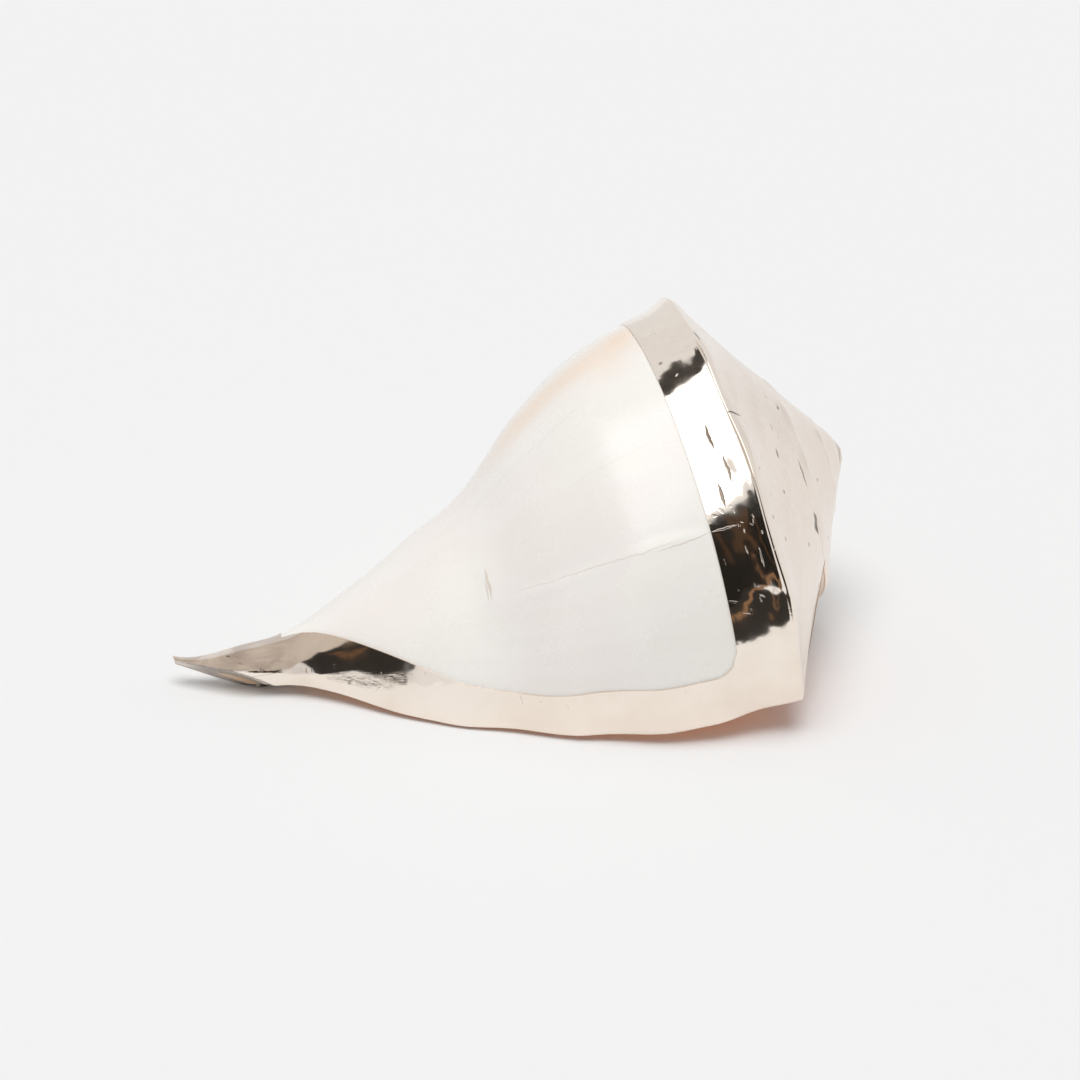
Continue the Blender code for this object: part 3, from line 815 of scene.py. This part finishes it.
def addPlaces(item):
    # each vertex gets its place on the whorl, which the finishes read, and the listed tints
    angles = np.radians(np.arange(0, 360 * whorl["turns"], 3.0))
    along = lipOutline(6)[0][:, 0]
    covered = along[:19]
    tree = KDTree(len(angles) * len(along))
    places = []
    for angle in angles:
        used = along if angle < turn else covered
        for point, at in zip(grid(angle, used, 0.0), used):
            tree.insert(point, len(places))
            places.append((angle, at))
    tree.balance()
    places = np.array(places)
    angle, at = nearer(np.array([v.co for v in item.data.vertices]),
                       places[[tree.find(v.co)[1] for v in item.data.vertices]])
    degrees = np.degrees(angle)
    edgeAlong, edgeAngle = zip(*whorl["edge"])
    overEdge = degrees - np.interp(at / mm, edgeAlong, edgeAngle)
    values = {name: sum(strength * blob(degrees, at, *place) for *place, strength in spots)
              for name, spots in tints.items()}
    # mask of the tarnish and painted shade near the canal tip
    tarnishAndShade = smooth(overEdge / plating["tarnishAndShadeSoft"] + 0.5)
    values["tarnishAndShade"] = tarnishAndShade * smooth((at / mm - plating["tarnishAndShadeFrom"]) / plating["tarnishAndShadeLength"])
    for name, value in values.items():
        item.data.attributes.new(name, "FLOAT", "POINT").data.foreach_set("value", np.clip(value, 0, 1))
    whorlPlace = np.stack([angle * 6, at * 100, np.zeros(len(at))], axis=1)  # in about centimetres
    item.data.attributes.new("whorl", "FLOAT_VECTOR", "POINT").data.foreach_set("vector", whorlPlace.ravel())


addPlaces(whelkShell)
addPlaces(silverSkin)
print("places and tints laid on")

# the shell lies as the solids do: its spire side and lip side meet the box of the silver solid
lie = Euler([math.radians(a) for a in whorl["lie"]]).to_matrix().to_4x4()
for item in (whelkShell, silverSkin):
    item.data.transform(lie)
plainAngles = np.radians(np.arange(0, 1081, 10))[:, None]
plain = grid(plainAngles, lipOutline(2)[0][None, :, 0], plating["proud"]).reshape(-1, 3)
plain = plain @ np.array(lie.to_3x3()).T
boxLow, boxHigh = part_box("silver_plating")
lowest = min(v.co.z for item in (whelkShell, silverSkin) for v in item.data.vertices)
apexPlace = Vector((boxHigh.x - plain[:, 0].max(), boxLow.y - plain[:, 1].min(), -lowest))
for item in (whelkShell, silverSkin):
    item.data.transform(Matrix.Translation(apexPlace))
    top = max(v.co.z for v in item.data.vertices)
    print(item.name, len(item.data.polygons), "faces, top", round(top / mm, 2), "of", round(boxHigh.z / mm, 2))
print("apex at", [round(v / mm, 2) for v in apexPlace])


studio = {  # places in metres from the middle of the shell on the floor
    "floorColor": (0.84, 0.84, 0.84),
    "backdrop": 0.80, "dome": 0.44,
    "sun": 0.64, "sunAngle": math.radians(45), "sunTilt": (math.radians(14), math.radians(-2)),
    "panel": (-0.62, 0.0, -1.45, 0.12), "panelHeight": 1.0, "panelRadiance": 1.2,
    "wood": (0.27, 0.155, 0.085),
    "lens": 114.6, "distance": 0.9, "elevation": 25.54,
    "target": (-78.24 * mm, 0.0, -26.79 * mm),  # from the apex
}

cards = {  # only reflections see these: corners and how bright
    "darkRoom": ([(-0.21, -1, -0.05), (1.4, -1, -0.05), (1.4, -1, 0.7), (-0.26, -1, 0.62)],
                 0.016),
    "apron": ([(0, -0.12, 0.002), (0, -0.98, 0.002), (1.2, -0.98, 0.002), (0.5, -0.13, 0.002)],
              0.032),
    "flag": ([(-0.3, 0.12, 1), (-0.66, 0.14, 1), (-0.6, 0.52, 1), (-0.24, 0.24, 1)],
             0.05),
    "roof": ([(-0.38, 0.02, 0.15), (-0.203, -0.238, 0.115), (-0.06, -0.09, 0.17), (-0.06, 0.08, 0.17)],
             0.56),
    "porch": ([(-0.203, -0.238, 0.115), (-0.145, -0.3, 0.13), (-0.035, -0.225, 0.165), (-0.06, -0.09, 0.17)],
              0.5),
    "leftRoom": ([(-0.38, 0.02, -0.01), (-0.203, -0.238, -0.01), (-0.203, -0.238, 0.115), (-0.38, 0.02, 0.15)],
                 0.03),
}

posts = [  # brown wood in the dark room: foot, head, width and how bright
    ((-0.085, -0.99, 0), (-0.055, -0.99, 0.22), 0.045, 0.9),
    ((-0.08, -0.97, 0.004), (0.105, -0.21, 0.004), 0.022, 1),
    ((-0.175, -0.99, 0.05), (-0.06, -0.99, 0.22), 0.035, 0.9),
    ((-0.15, -0.97, 0.004), (0.05, -0.14, 0.004), 0.016, 0.8),
    ((-0.12, -0.99, 0.56), (-0.05, -0.99, 0.3), 0.07, 0.3),
    ((0.09, -0.99, 0.52), (0.13, -0.99, 0.25), 0.05, 0.25),
    ((-0.01, -0.99, 0.36), (0, -0.99, 0.26), 0.04, 0.35),
    ((-0.29, -0.088, 0), (-0.275, -0.108, 0.12), 0.03, 0.9),
    ((-0.25, -0.144, 0), (-0.245, -0.152, 0.11), 0.022, 0.7),
    ((-0.222, -0.182, 0), (-0.225, -0.179, 0.09), 0.014, 0.5),
]


def paleFloor():
    material, tree, shader = makeMaterial("paleFloor")
    shader.inputs["Base Color"].default_value = (*studio["floorColor"], 1)
    shader.inputs["Roughness"].default_value = 0.9
    shader.inputs["Specular IOR Level"].default_value = 0.0
    mix = tree.nodes.new("ShaderNodeMixShader")  # clear from below, so that the underside can be seen
    geometry = tree.nodes.new("ShaderNodeNewGeometry")
    clear = tree.nodes.new("ShaderNodeBsdfTransparent")
    tree.links.new(geometry.outputs["Backfacing"], mix.inputs["Fac"])
    tree.links.new(shader.outputs["BSDF"], mix.inputs[1])
    tree.links.new(clear.outputs["BSDF"], mix.inputs[2])
    tree.links.new(mix.outputs["Shader"], tree.nodes["Material Output"].inputs["Surface"])
    return material


def cardFinish(name, color):
    material = bpy.data.materials.new(name)
    material.use_nodes = True
    tree = material.node_tree
    tree.nodes.clear()
    out = tree.nodes.new("ShaderNodeOutputMaterial")
    glow = tree.nodes.new("ShaderNodeEmission")
    glow.inputs["Strength"].default_value = 1.0
    glow.inputs["Color"].default_value = (*color, 1)
    tree.links.new(glow.outputs["Emission"], out.inputs["Surface"])
    return material


def flatPiece(name, corners, material):
    mesh = bpy.data.meshes.new(name)
    mesh.from_pydata(corners, [], [tuple(range(len(corners)))])
    mesh.materials.append(material)
    item = bpy.data.objects.new(name, mesh)
    bpy.context.collection.objects.link(item)
    item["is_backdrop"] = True
    return item


def reflectedOnly(card):
    card.visible_camera = card.visible_diffuse = card.visible_shadow = card.visible_transmission = False


def makeWorld():
    # reflections see the pale backdrop, and the dome lights the shell more softly
    world = bpy.data.worlds.new("studio")
    bpy.context.scene.world = world
    world.use_nodes = True
    tree = world.node_tree
    path = tree.nodes.new("ShaderNodeLightPath")
    seen = math2(tree, "MAXIMUM", path.outputs["Is Camera Ray"], path.outputs["Is Glossy Ray"])
    seen = math2(tree, "MAXIMUM", seen, path.outputs["Is Transmission Ray"])
    background = tree.nodes["Background"]
    background.inputs["Color"].default_value = (1, 1, 1, 1)
    brighter = math2(tree, "MULTIPLY", seen, studio["backdrop"] - studio["dome"])
    strength = math2(tree, "ADD", brighter, studio["dome"])
    tree.links.new(strength, background.inputs["Strength"])


def makeLamps():
    left, right, front, rear = studio["panel"]
    panel = bpy.data.lights.new("overheadPanel", "AREA")
    panel.shape = "RECTANGLE"
    panel.size, panel.size_y = right - left, rear - front
    panel.energy = studio["panelRadiance"] * math.pi * panel.size * panel.size_y
    lamp = bpy.data.objects.new("overheadPanel", panel)
    lamp.location = ((left + right) / 2, (front + rear) / 2, studio["panelHeight"])
    lamp.visible_diffuse = False
    bpy.context.collection.objects.link(lamp)
    sun = bpy.data.lights.new("softTop", "SUN")
    sun.angle = studio["sunAngle"]
    sun.energy = studio["sun"] * math.pi
    lamp = bpy.data.objects.new("softTop", sun)
    lamp.rotation_euler = (*studio["sunTilt"], 0)
    lamp.visible_glossy = False
    bpy.context.collection.objects.link(lamp)


def makeStudio():
    flatPiece("floor", [(-4, -4, 0), (4, -4, 0), (4, 6, 0), (-4, 6, 0)], paleFloor())
    for name, (corners, value) in cards.items():
        reflectedOnly(flatPiece(name, corners, cardFinish(name, (value * 1.1, value, value * 0.9))))
    for k, (foot, head, width, bright) in enumerate(posts):
        wood = cardFinish("wood" + str(k + 1), tuple(bright * value for value in studio["wood"]))
        foot, head = Vector(foot), Vector(head)
        side = (head - foot).cross(foot).normalized() * width / 2
        corners = [foot - side, foot + side, head + side, head - side]
        reflectedOnly(flatPiece("post" + str(k + 1), [tuple(corner) for corner in corners], wood))
    makeWorld()
    makeLamps()


def makeCamera():
    elevation = math.radians(studio["elevation"])
    back = Vector((0, -math.cos(elevation), math.sin(elevation)))
    camera = bpy.data.objects.new("camera", bpy.data.cameras.new("camera"))
    bpy.context.collection.objects.link(camera)
    camera.location = apexPlace + Vector(studio["target"]) + back * studio["distance"]
    camera.rotation_euler = (-back).to_track_quat("-Z", "Y").to_euler()
    camera.data.lens = studio["lens"]
    camera.data.sensor_width = 36
    camera.data.clip_end = 50
    bpy.context.scene.camera = camera
    bpy.context.scene.view_settings.view_transform = "Standard"


makeStudio()
makeCamera()
print("studio and camera made,", len(cards), "cards and", len(posts), "posts")

for item in (whelkShell, silverSkin):
    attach(item, "root")
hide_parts("shell")
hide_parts("silver_plating")

newLow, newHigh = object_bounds()
for name, low, high in (("cad box", cadLow, cadHigh), ("visual box", newLow, newHigh)):
    print(name, [round(side / mm, 1) for side in high - low])
